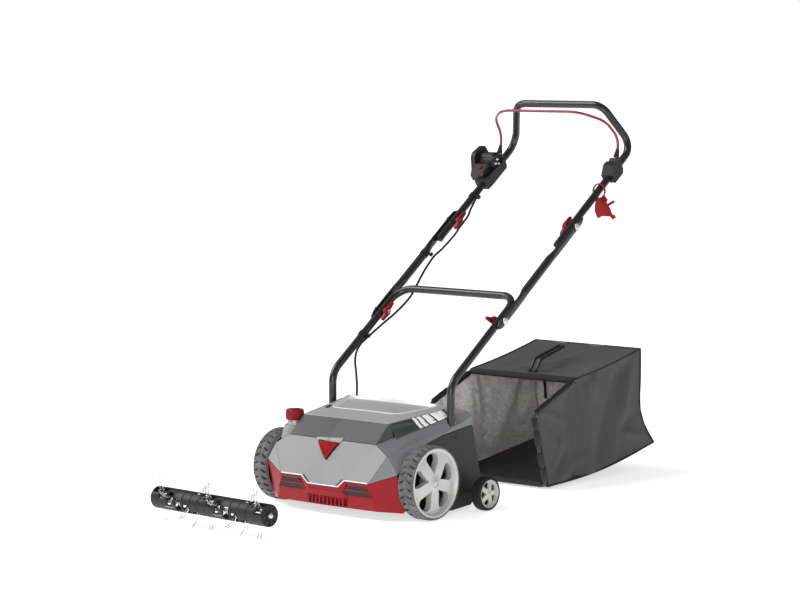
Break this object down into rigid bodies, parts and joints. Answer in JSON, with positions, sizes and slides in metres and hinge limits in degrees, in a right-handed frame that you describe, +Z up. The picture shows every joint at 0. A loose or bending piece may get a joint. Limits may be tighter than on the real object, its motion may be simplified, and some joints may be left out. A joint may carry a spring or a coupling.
{
  "type": "electric lawn dethatcher",
  "caption": "Push-along electric lawn dethatcher with folding handle, switch bail, wheels, bladed roller, catcher bag and spare tine roller",
  "frame": {"origin": "centre of the whole model's footprint, on the ground the wheels stand on", "axes": "+Z up, +Y towards the person who pushes it, +X to the machine's right-hand side"},
  "size_m": [0.536, 1.5252, 0.9863],
  "materials": {
    "hood_light_grey": "satin moulded",
    "slate_grey": "satin moulded",
    "housing_dark_grey": "fine grain",
    "black_plastic": "fine grain",
    "red_plastic": "satin moulded",
    "rim_silver": "satin",
    "tyre_rubber": "matte tread",
    "tube_black": "gloss powder coat",
    "bright_steel": "zinc plated",
    "motor_steel": "plain",
    "belt_rubber": "matte",
    "bag_cloth": "coated weave"
  },
  "bodies": {
    "chassis": {"base_housing": "housing_dark_grey", "hood_shell": "hood_light_grey", "window_band": "slate_grey", "top_cover": "hood_light_grey", "shoulder_left": "slate_grey", "shoulder_right": "slate_grey", "front_bumper": "red_plastic", "vent_grille_left": "black_plastic", "vent_grille_right": "black_plastic", "front_badge": "red_plastic", "roller_bearing_left": "bright_steel", "roller_bearing_right": "bright_steel", "motor": "motor_steel", "drive_belt": "belt_rubber", "rear_axle": "bright_steel", "depth_scale_ring": "rim_silver", "cable_gland": "black_plastic", "handle_lower": "tube_black", "clamp_bolt_lower_left": "bright_steel", "clamp_bolt_lower_right": "bright_steel", "cable_lower": "black_plastic"},
    "axle_carrier": {"front_axle_carrier": "bright_steel"},
    "front_wheel_left": {"front_left_tyre": "tyre_rubber", "front_left_rim": "rim_silver"},
    "front_wheel_right": {"front_right_tyre": "tyre_rubber", "front_right_rim": "rim_silver"},
    "rear_wheel_left": {"rear_left_tyre": "tyre_rubber", "rear_left_rim": "rim_silver"},
    "rear_wheel_right": {"rear_right_tyre": "tyre_rubber", "rear_right_rim": "rim_silver"},
    "roller": {"blade_roller": "motor_steel", "roller_pulley": "black_plastic"},
    "motor_rotor": {"motor_pulley": "black_plastic"},
    "knob": {"depth_knob": "red_plastic"},
    "flap": {"rear_flap": "black_plastic"},
    "handle_middle": {"handle_middle_left": "tube_black", "handle_middle_right": "tube_black", "cable_middle": "black_plastic"},
    "handle_top": {"handle_loop": "tube_black", "switch_housing": "black_plastic", "mains_inlet": "black_plastic", "bail_holder": "black_plastic", "clamp_bolt_upper_left": "bright_steel", "clamp_bolt_upper_right": "bright_steel", "cable_upper": "black_plastic"},
    "lever_lower_left": {"clamp_lever_lower_left": "red_plastic"},
    "lever_lower_right": {"clamp_lever_lower_right": "red_plastic"},
    "lever_upper_left": {"clamp_lever_upper_left": "red_plastic"},
    "lever_upper_right": {"clamp_lever_upper_right": "red_plastic"},
    "bail": {"bail_rod": "red_plastic", "bail_sleeve_left": "black_plastic", "bail_sleeve_right": "black_plastic"},
    "button": {"lock_button": "red_plastic"},
    "hook": {"cord_hook": "red_plastic"},
    "bag": {"bag_frame": "tube_black", "bag_shell": "bag_cloth", "bag_floor": "black_plastic", "bag_handle": "tube_black"},
    "spare_roller": {"spare_drum": "black_plastic", "spare_tines": "bright_steel"}
  },
  "joints": [
    {"name": "front_axle_swing", "type": "hinge", "parent": "chassis", "child": "axle_carrier", "pos_m": [0, -0.2894, 0.088], "axis": [1, 0, 0], "range_deg": [0, 6]},
    {"name": "front_wheel_left_spin", "type": "hinge", "parent": "axle_carrier", "child": "front_wheel_left", "pos_m": [-0.238, -0.2444, 0.09], "axis": [1, 0, 0], "continuous": true},
    {"name": "front_wheel_right_spin", "type": "hinge", "parent": "axle_carrier", "child": "front_wheel_right", "pos_m": [0.238, -0.2444, 0.09], "axis": [1, 0, 0], "continuous": true},
    {"name": "rear_wheel_left_spin", "type": "hinge", "parent": "chassis", "child": "rear_wheel_left", "pos_m": [-0.254, -0.0494, 0.042], "axis": [1, 0, 0], "continuous": true},
    {"name": "rear_wheel_right_spin", "type": "hinge", "parent": "chassis", "child": "rear_wheel_right", "pos_m": [0.254, -0.0494, 0.042], "axis": [1, 0, 0], "continuous": true},
    {"name": "blade_roller_spin", "type": "hinge", "parent": "chassis", "child": "roller", "pos_m": [0, -0.1494, 0.074], "axis": [1, 0, 0], "continuous": true},
    {"name": "motor_spin", "type": "hinge", "parent": "chassis", "child": "motor_rotor", "pos_m": [-0.2, -0.2294, 0.16], "axis": [1, 0, 0], "continuous": true},
    {"name": "depth_knob_turn", "type": "hinge", "parent": "chassis", "child": "knob", "pos_m": [-0.172, -0.2744, 0.2097], "axis": [0, 0, 1], "range_deg": [0, 270]},
    {"name": "rear_flap_swing", "type": "hinge", "parent": "chassis", "child": "flap", "pos_m": [0, -0.0454, 0.197], "axis": [1, 0, 0], "range_deg": [0, 90]},
    {"name": "handle_lower_fold", "type": "hinge", "parent": "chassis", "child": "handle_middle", "pos_m": [0, 0.0766, 0.45226], "axis": [1, 0, 0], "range_deg": [0, 140]},
    {"name": "handle_upper_fold", "type": "hinge", "parent": "handle_middle", "child": "handle_top", "pos_m": [0, 0.3666, 0.67151], "axis": [1, 0, 0], "range_deg": [-110, 0]},
    {"name": "clamp_lever_lower_left_turn", "type": "hinge", "parent": "chassis", "child": "lever_lower_left", "pos_m": [-0.176, 0.0766, 0.45226], "axis": [1, 0, 0], "range_deg": [-90, 90]},
    {"name": "clamp_lever_lower_right_turn", "type": "hinge", "parent": "chassis", "child": "lever_lower_right", "pos_m": [0.176, 0.0766, 0.45226], "axis": [1, 0, 0], "range_deg": [-90, 90]},
    {"name": "clamp_lever_upper_left_turn", "type": "hinge", "parent": "handle_top", "child": "lever_upper_left", "pos_m": [-0.176, 0.3666, 0.67151], "axis": [1, 0, 0], "range_deg": [-90, 90]},
    {"name": "clamp_lever_upper_right_turn", "type": "hinge", "parent": "handle_top", "child": "lever_upper_right", "pos_m": [0.176, 0.3666, 0.67151], "axis": [1, 0, 0], "range_deg": [-90, 90]},
    {"name": "switch_bail_pull", "type": "hinge", "parent": "handle_top", "child": "bail", "pos_m": [0, 0.5521, 0.83], "axis": [1, 0, 0], "range_deg": [-25, 0], "stiffness_Nm_per_rad": 0.6, "springref_deg": 20.05},
    {"name": "lock_button_press", "type": "slide", "parent": "handle_top", "child": "button", "axis": [0, 0.6031, -0.7977], "range_m": [0, 0.004], "stiffness_N_per_m": 300, "springref_m": -0.003},
    {"name": "cord_hook_swing", "type": "hinge", "parent": "handle_top", "child": "hook", "pos_m": [0.194, 0.4836, 0.75997], "axis": [0, 1, 0], "range_deg": [-40, 40]},
    {"name": "bag_hook_on", "type": "slide", "parent": "chassis", "child": "bag", "axis": [0, 1, 0], "range_m": [-0.27, 0]},
    {"name": "spare_roller_lift", "type": "slide", "parent": "chassis", "child": "spare_roller", "axis": [0, 0, 1], "range_m": [0, 0.25]}
  ],
  "couplings": [
    {"joint": "motor_spin", "follows": "blade_roller_spin", "ratio": 2.45},
    {"joint": "depth_knob_turn", "follows": "front_axle_swing", "ratio": 45}
  ]
}
